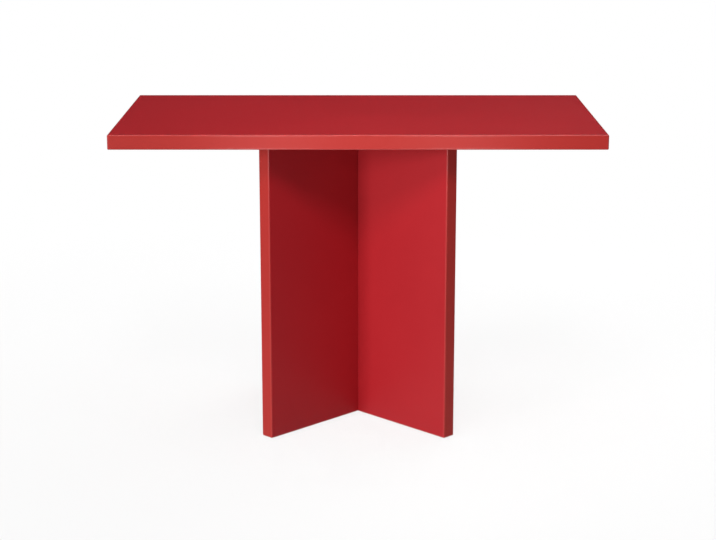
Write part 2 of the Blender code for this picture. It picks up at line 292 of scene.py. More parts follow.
def beechFinish(name):
    finish, maker = newFinish(name)
    stretched = maker.objectPlace(scale=(1, 1, beech["grainLength"]))
    flecked = maker.objectPlace(scale=(1, 1, beech["fleckLength"]))
    grain = maker.noise(stretched, **beech["grain"])
    flecks = maker.ramp(maker.noise(flecked, **beech["fleck"]), *beech["fleckRange"])
    share = maker.ramp(grain, *beech["grainRange"])
    wood = maker.mixColour(share, beech["paleColour"], beech["darkColour"])
    setShader(maker, {
        "Base Color": maker.mixColour(flecks * beech["fleckShare"], wood, beech["fleckColour"]),
        "Roughness": beech["roughness"] + beech["grainRoughness"] * (grain - noiseMean),
        "Normal": maker.bump((grain - flecks) * beech["grainDepth"], beech["grainStrength"]),
    })
    return finish


nylon = {
    "colour": (0.016, 0.016, 0.018, 1),
    "scuffColour": (0.055, 0.053, 0.050, 1),
    "roughness": 0.48,
    "grain": {"scale": 1500},
    "grainRoughness": 0.14,
    "grainDepth": 0.00006,
    "grainStrength": 0.7,
    "scuffHeight": 0.0016,                         # the sole's edge picks up dust from the floor
    "scuffRoughness": 0.2,
    "dust": {"scale": 260, "detail": 4, "roughness": 0.65},
    "dustRange": (0.35, 0.7),
}


def nylonFinish(name):
    finish, maker = newFinish(name)
    place = maker.objectPlace()
    height = maker.node("ShaderNodeSeparateXYZ", {}, [place], "Z")
    grain = maker.noise(place, **nylon["grain"])
    dust = maker.noise(place, **nylon["dust"])
    low = 1 - maker.ramp(height, 0, nylon["scuffHeight"])
    scuffed = low * maker.ramp(dust, *nylon["dustRange"])
    roughness = (
        nylon["roughness"]
        + nylon["grainRoughness"] * (grain - noiseMean)
        + nylon["scuffRoughness"] * scuffed
    )
    setShader(maker, {
        "Base Color": maker.mixColour(scuffed, nylon["colour"], nylon["scuffColour"]),
        "Roughness": roughness,
        "Normal": maker.bump(grain * nylon["grainDepth"], nylon["grainStrength"]),
    })
    return finish


fibreboard = {
    "paleColour": (0.43, 0.29, 0.17, 1),
    "darkColour": (0.25, 0.15, 0.08, 1),
    "darkRange": (0.35, 0.65),
    "roughness": 0.85,
    "fibre": {"scale": 1300, "detail": 5, "roughness": 0.75},
    "fibreShare": 0.7,
    "fibreRoughness": 0.1,
    "fibreDepth": 0.00015,
    "fibreStrength": 0.8,
    "dust": {"scale": 190, "detail": 3},
    "dustShare": 0.3,
}


def fibreboardFinish(name):
    finish, maker = newFinish(name)
    place = maker.objectPlace()
    fibre = maker.noise(place, **fibreboard["fibre"])
    dust = maker.noise(place, **fibreboard["dust"])
    blend = fibreboard["fibreShare"] * fibre + fibreboard["dustShare"] * dust
    share = maker.ramp(blend, *fibreboard["darkRange"])
    setShader(maker, {
        "Base Color": maker.mixColour(share, fibreboard["paleColour"], fibreboard["darkColour"]),
        "Roughness": fibreboard["roughness"] + fibreboard["fibreRoughness"] * (fibre - noiseMean),
        "Normal": maker.bump(fibre * fibreboard["fibreDepth"], fibreboard["fibreStrength"]),
    })
    return finish


zincPlate = zincFinish("zinc_plated_steel_seen")
beechWood = beechFinish("beech_seen")
blackNylon = nylonFinish("black_nylon_seen")
rawBoard = fibreboardFinish("raw_fibreboard")
print("finishes made")


# Mesh tools

def eased(points, radius, steps=2):
    # an open outline with its inner corners rounded, each over less than half of its sides
    reach = 0.45
    corners = [Vector(point) for point in points]
    made = [corners[0]]
    for before, corner, after in zip(corners, corners[1:], corners[2:]):
        back = before - corner
        on = after - corner
        size = min(radius, reach * back.length, reach * on.length)
        start = corner + back.normalized() * size
        end = corner + on.normalized() * size
        for step in range(steps + 1):
            share = step / steps
            made.append(start * (1 - share) ** 2 + corner * 2 * share * (1 - share) + end * share ** 2)
    return made + [corners[-1]]


def spun(outline, steps=48, ring=False):
    # turns an outline of (radius, height) about Z
    shape = bmesh.new()
    points = [shape.verts.new((radius, 0, height)) for radius, height in outline]
    edges = [shape.edges.new(pair) for pair in zip(points, points[1:])]
    if ring:
        edges.append(shape.edges.new((points[-1], points[0])))
    bmesh.ops.spin(
        shape, geom=points + edges, cent=(0, 0, 0), axis=(0, 0, 1), dvec=(0, 0, 0),
        angle=fullTurn, steps=steps, use_merge=True,
    )
    bmesh.ops.remove_doubles(shape, verts=shape.verts, dist=weld)
    onAxis = [edge for edge in shape.edges if edge.is_wire]
    bmesh.ops.delete(shape, geom=onAxis, context="EDGES")
    bmesh.ops.recalc_face_normals(shape, faces=shape.faces)
    return shape


def threaded(thread, bottom, top):
    # an open tube whose wall is one right-hand helical ridge, cut square at both ends
    root = thread["radius"] - thread["depth"]
    pitch = thread["pitch"]
    outline = (
        (root, 0), (root, thread["rootShare"]), (thread["radius"], thread["crestStart"]),
        (thread["radius"], thread["crestEnd"]), (root, 1),
    )
    spare = 2                                   # turns past the length, so that both ends are whole
    below = 1.5                                 # pitches by which the first turn starts under the bottom
    turns = math.ceil((top - bottom) / pitch) + spare
    shape = bmesh.new()
    points = [shape.verts.new((radius, 0, bottom + (share - below) * pitch)) for radius, share in outline]
    edges = [shape.edges.new(pair) for pair in zip(points, points[1:])]
    bmesh.ops.spin(
        shape, geom=points + edges, cent=(0, 0, 0), axis=(0, 0, 1), dvec=(0, 0, pitch / thread["steps"]),
        angle=fullTurn * turns, steps=thread["steps"] * turns, use_merge=False,
    )
    bmesh.ops.remove_doubles(shape, verts=shape.verts, dist=weld)
    for height, side in ((bottom, -1), (top, 1)):
        everything = shape.verts[:] + shape.edges[:] + shape.faces[:]
        bmesh.ops.bisect_plane(
            shape, geom=everything, dist=weld / 10, plane_co=(0, 0, height), plane_no=(0, 0, side),
            clear_outer=True,
        )
    return shape


def reshaped(shape, rule):
    # moves each point in or out to the radius that rule(radius, place) gives
    for vert in shape.verts:
        radius = vert.co.xy.length
        if radius > weld:
            share = rule(radius, vert.co) / radius
            vert.co.x *= share
            vert.co.y *= share


def rimAt(shape, height):
    return [
        edge for edge in shape.edges
        if edge.is_boundary and all(abs(vert.co.z - height) < near for vert in edge.verts)
    ]


def drawnOn(shape, rim, outline):
    # draws an open rim on through rings of (radius, height)
    for radius, height in outline:
        grown = bmesh.ops.extrude_edge_only(shape, edges=rim)["geom"]
        rim = [item for item in grown if isinstance(item, bmesh.types.BMEdge)]
        for vert in (item for item in grown if isinstance(item, bmesh.types.BMVert)):
            share = radius / vert.co.xy.length
            vert.co = (vert.co.x * share, vert.co.y * share, height)


def closed(shape):
    # fills what is open and turns the faces outwards
    bmesh.ops.holes_fill(shape, edges=[edge for edge in shape.edges if edge.is_boundary], sides=0)
    bmesh.ops.remove_doubles(shape, verts=shape.verts, dist=weld)
    bmesh.ops.recalc_face_normals(shape, faces=shape.faces)
    return shape


def uppermost(shape):
    return max(shape.faces, key=lambda face: face.calc_center_median().z)


def hexReach(flats):
    # from the middle of a hexagon to its corners
    return flats / 2 / math.cos(math.pi / 6)


def prism(flats, bottom, top, point=0):
    # a six-sided bar by its width across flats; its upper end can have a shallow point
    shape = bmesh.new()
    radius = hexReach(flats)
    bmesh.ops.create_cone(
        shape, cap_ends=True, segments=6, radius1=radius, radius2=radius, depth=top - bottom,
        matrix=Matrix.Translation((0, 0, (bottom + top) / 2)),
    )
    if point:
        bmesh.ops.poke(shape, faces=[uppermost(shape)], offset=point)
    return shape


def block(low, high):
    shape = bmesh.new()
    size = Matrix.Diagonal((*(high - low), 1))
    bmesh.ops.create_cube(shape, size=1, matrix=Matrix.Translation((low + high) / 2) @ size)
    return shape


def bevelled(shape, edges, width, segments):
    bmesh.ops.bevel(
        shape, geom=edges, offset=width, offset_type="OFFSET", affect="EDGES", segments=segments,
        profile=0.5, material=-1, clamp_overlap=True,
    )
    return shape


def copies(shape, places):
    # one mesh that holds the shape at each place
    mesh = bpy.data.meshes.new("copies")
    shape.to_mesh(mesh)
    made = bmesh.new()
    for place in places:
        moved = mesh.copy()
        moved.transform(place)
        made.from_mesh(moved)
        bpy.data.meshes.remove(moved)
    bpy.data.meshes.remove(mesh)
    return made


def looseObject(shape):
    mesh = bpy.data.meshes.new("loose")
    shape.to_mesh(mesh)
    mesh.materials.append(None)                 # two slots, for the finish and for raw cut faces
    mesh.materials.append(None)
    made = bpy.data.objects.new("loose", mesh)
    bpy.context.scene.collection.objects.link(made)
    return made


def combined(shape, tools, operation="DIFFERENCE"):
    # cuts closed tools out of a closed shape, joins them to it or keeps what they share
    whole = looseObject(shape)
    used = [looseObject(tool) for tool in tools]
    for tool in used:
        step = whole.modifiers.new("combine", "BOOLEAN")
        step.operation = operation
        step.solver = "EXACT"
        step.object = tool
    made = bmesh.new()
    made.from_object(whole, bpy.context.evaluated_depsgraph_get())
    bmesh.ops.remove_doubles(made, verts=made.verts, dist=weld)
    for old in [whole, *used]:
        bpy.data.meshes.remove(old.data)        # its object goes with it
    return made


def rawInside(shape):
    # a drill whose hole shows the raw board
    for face in shape.faces:
        face.material_index = 1
    return shape


def addPiece(node, shape, finishes, body, place=Matrix()):
    name = "finished_" + node
    mesh = bpy.data.meshes.new(name)
    shape.to_mesh(mesh)
    mesh.transform(place)
    for finish in finishes:
        mesh.materials.append(finish)
    mesh.shade_smooth()
    mesh.set_sharp_from_angle(angle=smoothAngle)
    piece = bpy.data.objects.new(name, mesh)
    bpy.context.scene.collection.objects.link(piece)
    even = piece.modifiers.new("evenShading", "WEIGHTED_NORMAL")   # keeps flats flat beside round edges
    even.keep_sharp = True
    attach(piece, body)
    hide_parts(node)


# Where the frame puts things

def armTurn(arm):
    low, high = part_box("glide_pad_" + arm)
    middle = (low + high) / 2
    return math.atan2(middle.y, middle.x)


def armBox(node, turn):
    # a node's lowest and highest corners in its arm's own axes: x outwards, y to the left, z up
    back = Matrix.Rotation(-turn, 4, "Z")
    places = [back @ vert.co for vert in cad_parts[node].data.vertices]
    return Vector(map(min, *places)), Vector(map(max, *places))


def middleOf(node, turn):
    low, high = armBox(node, turn)
    return (low + high) / 2


turns = {arm: armTurn(arm) for arm in arms}
armPlaces = {arm: Matrix.Rotation(turn, 4, "Z") for arm, turn in turns.items()}
firstArm = arms[0]
firstTurn = turns[firstArm]
tagsOf = {arm: [arm + "_" + str(number) for number in fastenerNumbers] for arm in arms}
fastenerTags = [(arm, tag) for arm in arms for tag in tagsOf[arm]]
firstTag = tagsOf[firstArm][0]


def upright(node, arm, height=0):
    # stands a turned piece on its node's axis
    middle = middleOf(node, turns[arm])
    return armPlaces[arm] @ Matrix.Translation((middle.x, middle.y, height))


metricForm = {"rootShare": 0.25, "crestStart": 0.5625, "crestEnd": 0.6875}     # shares of a thread's pitch


def tipLimit(thread, room):
    # how wide a thread can be at a distance from its turned-down end
    rise = (thread["radius"] - thread["tipRadius"]) / thread["tipLength"]
    return thread["tipRadius"] + max(0, room) * rise


# Button-head bolts, up through the brackets into the top

bolt = {
    "radius": 0.003, "depth": 0.00058, "pitch": 0.001, "steps": 24, **metricForm,
    "headHeight": 0.0033, "crownRadius": 0.003, "rim": 0.0002, "domeSteps": 8, "ease": 0.00025,
    "keyFlats": 0.004, "keyDepth": 0.0019, "keyPoint": 0.0005,
    "neckRadius": 0.00235, "neckLength": 0.0012, "tipRadius": 0.0021, "tipLength": 0.0010,
}
boltLow, boltHigh = armBox("bracket_bolt_" + firstTag, firstTurn)
boltSeat = boltLow.z + bolt["headHeight"]
boltLength = boltHigh.z - boltSeat
boltHeadRadius = (boltHigh.x - boltLow.x) / 2


def boltShape():
    shape = threaded(bolt, 0, boltLength)

    def envelope(radius, place):
        neck = bolt["neckRadius"] + max(0, place.z - bolt["neckLength"])
        return min(radius, neck, tipLimit(bolt, boltLength - place.z))

    reshaped(shape, envelope)
    face = -bolt["headHeight"]
    dome = [(boltHeadRadius, 0)]
    for step in range(bolt["domeSteps"] + 1):
        angle = math.pi / 2 * step / bolt["domeSteps"]
        radius = bolt["crownRadius"] + (boltHeadRadius - bolt["crownRadius"]) * math.cos(angle)
        dome.append((radius, -bolt["rim"] + (face + bolt["rim"]) * math.sin(angle)))
    dome.append((bolt["keyFlats"] / 2, face))
    drawnOn(shape, rimAt(shape, 0), eased(dome, bolt["ease"]))
    key = prism(bolt["keyFlats"], face - overcut, face + bolt["keyDepth"], bolt["keyPoint"])
    return combined(closed(shape), [key])


boltForm = boltShape()
for arm, tag in fastenerTags:
    node = "bracket_bolt_" + tag
    addPiece(node, boltForm, [zincPlate], "table", upright(node, arm, boltSeat))
print("bolts made")


# Screw-in inserts that hold the bolts

insert = {
    "radius": 0.0050, "depth": 0.00075, "pitch": 0.0026, "steps": 32,
    "rootShare": 0.35, "crestStart": 0.62, "crestEnd": 0.70,
    "flangeHeight": 0.001, "flangeRim": 0.0002, "ease": 0.0002, "leadLength": 0.0035, "leadShare": 0.86,
    "boreMouth": 0.00345, "mouthDepth": 0.0006,
}
insertBore = {"radius": 0.0035, "depth": 0.00035, "pitch": bolt["pitch"], "steps": 24, **metricForm}
insertLow, insertHigh = armBox("top_insert_" + firstTag, firstTurn)
insertLength = insertHigh.z - insertLow.z
insertFlange = (insertHigh.x - insertLow.x) / 2


def insertShape():
    shape = threaded(insert, insert["flangeHeight"], insertLength)

    def lead(radius, place):
        share = min(1, (insertLength - place.z) / insert["leadLength"])
        return radius * (insert["leadShare"] + (1 - insert["leadShare"]) * share)

    reshaped(shape, lead)
    rise = insert["flangeHeight"]
    flange = [
        (insertFlange - insert["flangeRim"], rise), (insertFlange, rise), (insertFlange, 0),
        (insert["boreMouth"], 0),
    ]
    drawnOn(shape, rimAt(shape, rise), eased(flange, insert["ease"]))
    bore = closed(threaded(insertBore, -overcut, insertLength + overcut))
    mouth = spun([
        (0, insert["mouthDepth"]), (insertBore["radius"] - insertBore["depth"], insert["mouthDepth"]),
        (insertBore["radius"] + overcut, -overcut), (0, -overcut),
    ])
    return combined(closed(shape), [bore, mouth])


insertForm = insertShape()
for arm, tag in fastenerTags:
    node = "top_insert_" + tag
    addPiece(node, insertForm, [zincPlate], "table", upright(node, arm, insertLow.z))
print("inserts made")


# Countersunk wood screws, through the brackets into the panels

screw = {
    "radius": 0.002, "depth": 0.00065, "pitch": 0.0018, "steps": 24,
    "rootShare": 0.5, "crestStart": 0.72, "crestEnd": 0.77,
    "pointLength": 0.0045, "pointRadius": 0.00015, "shankRadius": 0.00145, "shankLength": 0.0015,
    "crossWidth": 0.0044, "crossSlot": 0.0009, "crossDepth": 0.0021, "crossTaper": 0.35,
    "heartRadius": 0.0009, "heartPoint": 0.0004, "heartDepth": 0.00252, "heartSteps": 20,
    "crossLand": 0.0002, "ease": 0.00025,
}
screwLow, screwHigh = armBox("bracket_screw_" + firstTag, firstTurn)
screwLength = screwHigh.y - screwLow.y
screwHead = (screwHigh.z - screwLow.z) / 2


def crossTool():
    # two crossed blades about a cone, all narrower towards the bottom of the recess
    deep = screw["crossDepth"]
    flare = 1 + (1 - screw["crossTaper"]) * overcut / deep
    heart = screw["heartRadius"]
    tip = -screw["heartDepth"]
    cone = [(0, overcut), (heart, overcut), (heart, 0), (screw["heartPoint"], tip), (0, tip)]
    blades = [spun(cone, screw["heartSteps"])]
    for turn in (0, math.pi / 2):
        half = Vector((screw["crossWidth"], screw["crossSlot"], 0)) / 2
        blade = block(-half - Vector((0, 0, deep)), half + Vector((0, 0, overcut)))
        for vert in blade.verts:
            vert.co.x *= screw["crossTaper"] if vert.co.z < 0 else flare
        bmesh.ops.rotate(blade, cent=(0, 0, 0), matrix=Matrix.Rotation(turn, 3, "Z"), verts=blade.verts)
        blades.append(blade)
    return blades


def screwShape():
    neck = screw["shankRadius"] - screwHead             # the head's cone has a right angle
    shape = threaded(screw, -screwLength, neck)

    def taper(radius, place):
        share = min(1, (place.z + screwLength) / screw["pointLength"])
        point = screw["pointRadius"] + radius * share
        return min(point, max(screw["shankRadius"], radius * (neck - place.z) / screw["shankLength"]))

    reshaped(shape, taper)
    land = screw["crossWidth"] / 2 + screw["crossLand"]
    head = [(screw["shankRadius"], neck), (screwHead, 0), (land, 0)]
    drawnOn(shape, rimAt(shape, neck), eased(head, screw["ease"])[1:])
    return combined(closed(shape), crossTool())


intoPanel = Matrix.Rotation(-math.pi / 2, 4, "X")


def screwPlace(arm, tag):
    # at the middle of the head, with the screw lying into the panel
    low, high = armBox("bracket_screw_" + tag, turns[arm])
    head = Matrix.Translation(((low.x + high.x) / 2, high.y, (low.z + high.z) / 2))
    return armPlaces[arm] @ head @ intoPanel


screwForm = screwShape()
for arm, tag in fastenerTags:
    node = "bracket_screw_" + tag
    addPiece(node, screwForm, [zincPlate], "table", screwPlace(arm, tag))
print("wood screws made")


# Angle brackets

bracket = {
    "thickness": 0.003, "bend": 0.003, "bendSteps": 8,
    "corner": 0.005, "cornerSteps": 8, "rimAngle": math.radians(60), "softEdge": 0.00035, "softSteps": 2,
}


def bracketShape(length, leg):
    # bent round its heel at y = 0, z = 0, with one leg under the top and one down the panel
    outer = bracket["bend"] + bracket["thickness"]
    shape = bmesh.new()
    edgeOn = shape.verts.new((-length / 2, leg, 0))
    grown = bmesh.ops.extrude_vert_indiv(shape, verts=[edgeOn])["verts"]
    bmesh.ops.translate(shape, verts=grown, vec=(0, outer - leg, 0))
    grown = bmesh.ops.spin(
        shape, geom=grown, cent=(-length / 2, outer, -outer), axis=(1, 0, 0), dvec=(0, 0, 0),
        angle=math.pi / 2, steps=bracket["bendSteps"], use_merge=False,
    )["geom_last"]
    heel = [item for item in grown if isinstance(item, bmesh.types.BMVert)]
    grown = bmesh.ops.extrude_vert_indiv(shape, verts=heel)["verts"]
    bmesh.ops.translate(shape, verts=grown, vec=(0, 0, outer - leg))
    grown = bmesh.ops.extrude_edge_only(shape, edges=shape.edges[:])["geom"]
    far = [item for item in grown if isinstance(item, bmesh.types.BMVert)]
    bmesh.ops.translate(shape, verts=far, vec=(length, 0, 0))
    corners = [vert for vert in shape.verts if len(vert.link_edges) == 2]
    bmesh.ops.bevel(
        shape, geom=corners, offset=bracket["corner"], affect="VERTICES", segments=bracket["cornerSteps"],
        profile=0.5, material=-1,
    )
    bmesh.ops.recalc_face_normals(shape, faces=shape.faces)
    inwards = bracket["thickness"] * (1 if uppermost(shape).normal.z > 0 else -1)
    bmesh.ops.solidify(shape, geom=shape.faces[:], thickness=inwards)
    bmesh.ops.recalc_face_normals(shape, faces=shape.faces)
    rim = [edge for edge in shape.edges if edge.calc_face_angle(0) > bracket["rimAngle"]]
    return bevelled(shape, rim, bracket["softEdge"], bracket["softSteps"])


def bracketDrills(arm, origin):
    # clearance holes for the bolts and countersunk ones for the screws, in the bracket's own place
    boltHole = bolt["radius"] + seat
    through = bracket["thickness"] + overcut
    straight = spun([(0, overcut), (boltHole, overcut), (boltHole, -through), (0, -through)])
    wide = screwHead + seat
    slim = screw["radius"] + seat
    sunk = spun([
        (0, overcut), (wide, overcut), (wide, 0), (slim, slim - wide), (slim, -through), (0, -through),
    ])
    drills = []
    for tag in tagsOf[arm]:
        at = middleOf("bracket_bolt_" + tag, turns[arm]) - origin
        drills.append(copies(straight, [Matrix.Translation((at.x, at.y, 0))]))
        at = middleOf("bracket_screw_" + tag, turns[arm]) - origin
        drills.append(copies(sunk, [Matrix.Translation((at.x, bracket["thickness"], at.z)) @ intoPanel]))
    return drills


for arm in arms:
    node = "angle_bracket_" + arm
    low, high = armBox(node, turns[arm])
    heel = Vector(((low.x + high.x) / 2, low.y, high.z))
    shape = combined(bracketShape(high.x - low.x, high.y - low.y), bracketDrills(arm, heel))
    place = armPlaces[arm] @ Matrix.Translation(heel)
    addPiece(node, shape, [zincPlate], "table", place)
print("brackets made")


# Fluted beech dowels

dowel = {"flutes": 20, "flutePoints": 3, "fluteDepth": 0.00028, "chamfer": 0.001, "ease": 0.0004}


def dowelShape(radius, bottom, top):
    slim = radius - dowel["chamfer"]
    shape = bmesh.new()
    bmesh.ops.create_circle(
        shape, cap_ends=False, radius=slim, segments=dowel["flutePoints"] * dowel["flutes"],
        matrix=Matrix.Translation((0, 0, bottom)),
    )
    body = [
        (slim, bottom), (radius, bottom + dowel["chamfer"]), (radius, top - dowel["chamfer"]), (slim, top),
    ]
    drawnOn(shape, shape.edges[:], eased(body, dowel["ease"])[1:])

    def fluted(reach, place):
        groove = max(0, math.cos(math.atan2(place.y, place.x) * dowel["flutes"]))
        return reach - dowel["fluteDepth"] * groove if reach > slim + near else reach

    reshaped(shape, fluted)
    return closed(shape)


for arm in arms:
    node = "dowel_" + arm
    low, high = armBox(node, turns[arm])
    shape = dowelShape((high.x - low.x) / 2, low.z, high.z)
    addPiece(node, shape, [beechWood], "table", upright(node, arm))
print("dowels made")


# Levelling glides: a barbed sleeve in the panel, a threaded stud and a swivelling pad

stud = {
    "radius": 0.004, "depth": 0.00072, "pitch": 0.00125, "steps": 28, **metricForm,
    "tipRadius": 0.0030, "tipLength": 0.0012,
    "collarHeight": 0.003, "collarFlats": 0.011, "collarChamfer": 0.0005, "collarRelief": 0.0001,
    "neckRadius": 0.003, "headRadius": 0.0045, "headHeight": 0.0028, "ease": 0.0005, "easeSteps": 4,
}
sleeve = {"barbs": 5, "barbDepth": 0.0007, "barbFlat": 0.0002, "lip": 0.0012, "taper": 0.0003}
sleeveBore = {"radius": 0.0046, "depth": 0.0004, "pitch": stud["pitch"], "steps": 28, **metricForm}
pad = {
    "lip": 0.0012, "sole": 0.002, "chamfer": 0.0012, "ribs": 36, "ribDepth": 0.00025,
    "ease": 0.0006, "easeSteps": 3, "pocketEase": 0.0003, "recessGap": 0.0015,
    "grooves": (0.0030, 0.0050, 0.0068), "grooveWidth": 0.0007, "grooveDepth": 0.0004,
}
studLow, studHigh = armBox("glide_stud_" + firstArm, firstTurn)
padLow, padHigh = armBox("glide_pad_" + firstArm, firstTurn)
sleeveLow, sleeveHigh = armBox("glide_sleeve_" + firstArm, firstTurn)
collarBottom = padHigh.z + seat
collarTop = collarBottom + stud["collarHeight"]
headTop = studLow.z + stud["headHeight"]


def collarShape():
    # a six-sided nut with its corners turned down
    nut = prism(stud["collarFlats"], collarBottom, collarTop)
    reach = hexReach(stud["collarFlats"])
    low = stud["collarFlats"] / 2 - stud["collarRelief"]
    drop = stud["collarChamfer"]
    above = collarTop + seat
    below = collarBottom - seat
    blank = spun([
        (0, above), (low, above), (low, collarTop), (reach, collarTop - drop),
        (reach, collarBottom + drop), (low, collarBottom), (low, below), (0, below),
    ])
    return combined(nut, [blank], "INTERSECT")


def studShape():
    threadStart = collarTop - stud["collarHeight"] / 2         # inside the collar
    shape = threaded(stud, threadStart, studHigh.z)
    reshaped(shape, lambda radius, place: min(radius, tipLimit(stud, studHigh.z - place.z)))
    ball = [
        (stud["neckRadius"], collarBottom), (stud["neckRadius"], headTop), (stud["headRadius"], headTop),
        (stud["headRadius"], studLow.z), (stud["headRadius"] / 2, studLow.z),
    ]
    drawnOn(shape, rimAt(shape, threadStart), eased(ball, stud["ease"], stud["easeSteps"]))
    return combined(closed(shape), [collarShape()], "UNION")


def padShape():
    # a cup whose lip snaps over the stud's head, ribbed to be turned by hand and grooved underneath
    reach = (padHigh.x - padLow.x) / 2
    mouth = stud["neckRadius"] + seat
    pocket = stud["headRadius"] + seat
    roof = padHigh.z - pad["lip"]
    side = [
        (mouth, padHigh.z), (reach - pad["chamfer"], padHigh.z), (reach, padHigh.z - pad["chamfer"]),
        (reach, padLow.z + pad["chamfer"]), (reach - pad["chamfer"], padLow.z),
    ]
    outline = eased(side, pad["ease"], pad["easeSteps"])
    wide = pad["grooveWidth"] / 2
    deep = padLow.z + pad["grooveDepth"]
    for radius in reversed(pad["grooves"]):
        outline += [(radius + wide, padLow.z), (radius + wide / 2, deep)]
        outline += [(radius - wide / 2, deep), (radius - wide, padLow.z)]
    inside = [(0, padLow.z + pad["sole"]), (pocket, padLow.z + pad["sole"]), (pocket, roof), (mouth, roof)]
    outline += [(0, padLow.z)] + eased(inside, pad["pocketEase"])
    columns = 2 * pad["ribs"]
    shape = spun(outline, columns, ring=True)

    def ribbed(radius, place):
        column = round(math.atan2(place.y, place.x) / fullTurn * columns)
        return radius - pad["ribDepth"] if column % 2 and radius > reach - near else radius

    reshaped(shape, ribbed)
    return shape


def sleeveShape():
    reach = (sleeveHigh.x - sleeveLow.x) / 2
    core = reach - sleeve["barbDepth"]
    bottom = sleeveLow.z
    rise = (sleeveHigh.z - bottom - 2 * sleeve["lip"]) / sleeve["barbs"]
    outline = [
        (0, sleeveHigh.z), (core - sleeve["taper"], sleeveHigh.z), (core, sleeveHigh.z - sleeve["lip"]),
    ]
    for barb in reversed(range(sleeve["barbs"])):
        foot = bottom + sleeve["lip"] + barb * rise
        outline += [(reach, foot + sleeve["barbFlat"]), (reach, foot), (core, foot)]
    outline += [(reach, bottom + sleeve["lip"] / 2), (reach, bottom), (0, bottom)]
    bore = closed(threaded(sleeveBore, bottom - overcut, sleeveHigh.z + overcut))
    return combined(spun(outline), [bore])


studForm = studShape()
padForm = padShape()
sleeveForm = sleeveShape()
for arm in arms:
    place = upright("glide_pad_" + arm, arm)
    addPiece("glide_sleeve_" + arm, sleeveForm, [zincPlate], "table", place)
    addPiece("glide_stud_" + arm, studForm, [zincPlate], "stud_" + arm, place)
    addPiece("glide_pad_" + arm, padForm, [blackNylon], "pad_" + arm, place)
print("glides made")


# Lacquered boards

board = {"arris": 0.0026, "arrisSteps": 8, "drillSteps": 32}
panelArms = {
    "cross_panel_slotted_above": ("back_right", "front_left"),
    "cross_panel_slotted_below": ("front_right", "back_left"),
}


def boardShape(low, high):
    shape = block(low, high)
    return bevelled(shape, shape.edges[:], board["arris"], board["arrisSteps"])


def drill(outline, places):
    return rawInside(copies(spun(outline, board["drillSteps"]), places))


def dowelDrill(places):
    low, high = armBox("dowel_" + firstArm, firstTurn)
    radius = (high.x - low.x) / 2 + seat
    top = high.z + seat
    bottom = low.z - seat
    return drill([(0, top), (radius, top), (radius, bottom), (0, bottom)], places)


def insertDrill(places):
    body = insert["radius"] + seat
    flange = insertFlange + seat
    step = insert["flangeHeight"] + seat
    depth = insertLength + seat
    return drill(
        [(0, depth), (body, depth), (body, step), (flange, step), (flange, -overcut), (0, -overcut)], places
    )


def screwDrill(places):
    radius = screw["radius"] + seat
    deep = -screwLength - seat
    return drill([(0, overcut), (radius, overcut), (radius, deep), (0, deep)], places)


def glideDrill(places):
    recess = (padHigh.x - padLow.x) / 2 + pad["recessGap"]
    roof = sleeveLow.z
    tight = (sleeveHigh.x - sleeveLow.x) / 2 + seat
    stop = sleeveHigh.z + seat
    bore = stud["radius"] + seat
    tip = studHigh.z + seat
    return drill([
        (0, tip), (bore, tip), (bore, stop), (tight, stop), (tight, roof), (recess, roof),
        (recess, -overcut), (0, -overcut),
    ], places)


def makeTop():
    node = "table_top"
    low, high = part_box(node)
    inserts = [upright("top_insert_" + tag, arm, insertLow.z) for arm, tag in fastenerTags]
    dowels = [upright("dowel_" + arm, arm) for arm in arms]
    shape = combined(boardShape(low, high), [insertDrill(inserts), dowelDrill(dowels)])
    finish = lacquerFinish("red_lacquer_top", low, high)
    addPiece(node, shape, [finish, rawBoard], "table")


def makePanel(node, ends):
    turn = turns[ends[0]]
    low, high = armBox(node, turn)
    half = (high.y - low.y) / 2 + seat
    middle = (low.z + high.z) / 2
    if node.endswith("above"):
        bottom, top = middle - seat / 2, high.z + overcut
    else:
        bottom, top = low.z - overcut, middle + seat / 2
    slot = block(Vector((-half, low.y - overcut, bottom)), Vector((half, high.y + overcut, top)))
    back = Matrix.Rotation(-turn, 4, "Z")
    screws = [back @ screwPlace(arm, tag) for arm in ends for tag in tagsOf[arm]]
    dowels = [back @ upright("dowel_" + arm, arm) for arm in ends]
    glides = [back @ upright("glide_pad_" + arm, arm) for arm in ends]
    tools = [slot, screwDrill(screws), dowelDrill(dowels), glideDrill(glides)]
    shape = combined(boardShape(low, high), tools)
    finish = lacquerFinish("red_lacquer_" + node, low, high, turn)
    addPiece(node, shape, [finish, rawBoard], "table", Matrix.Rotation(turn, 4, "Z"))


makeTop()
for node, ends in panelArms.items():
    makePanel(node, ends)
print("boards made")


# Stage, light and camera

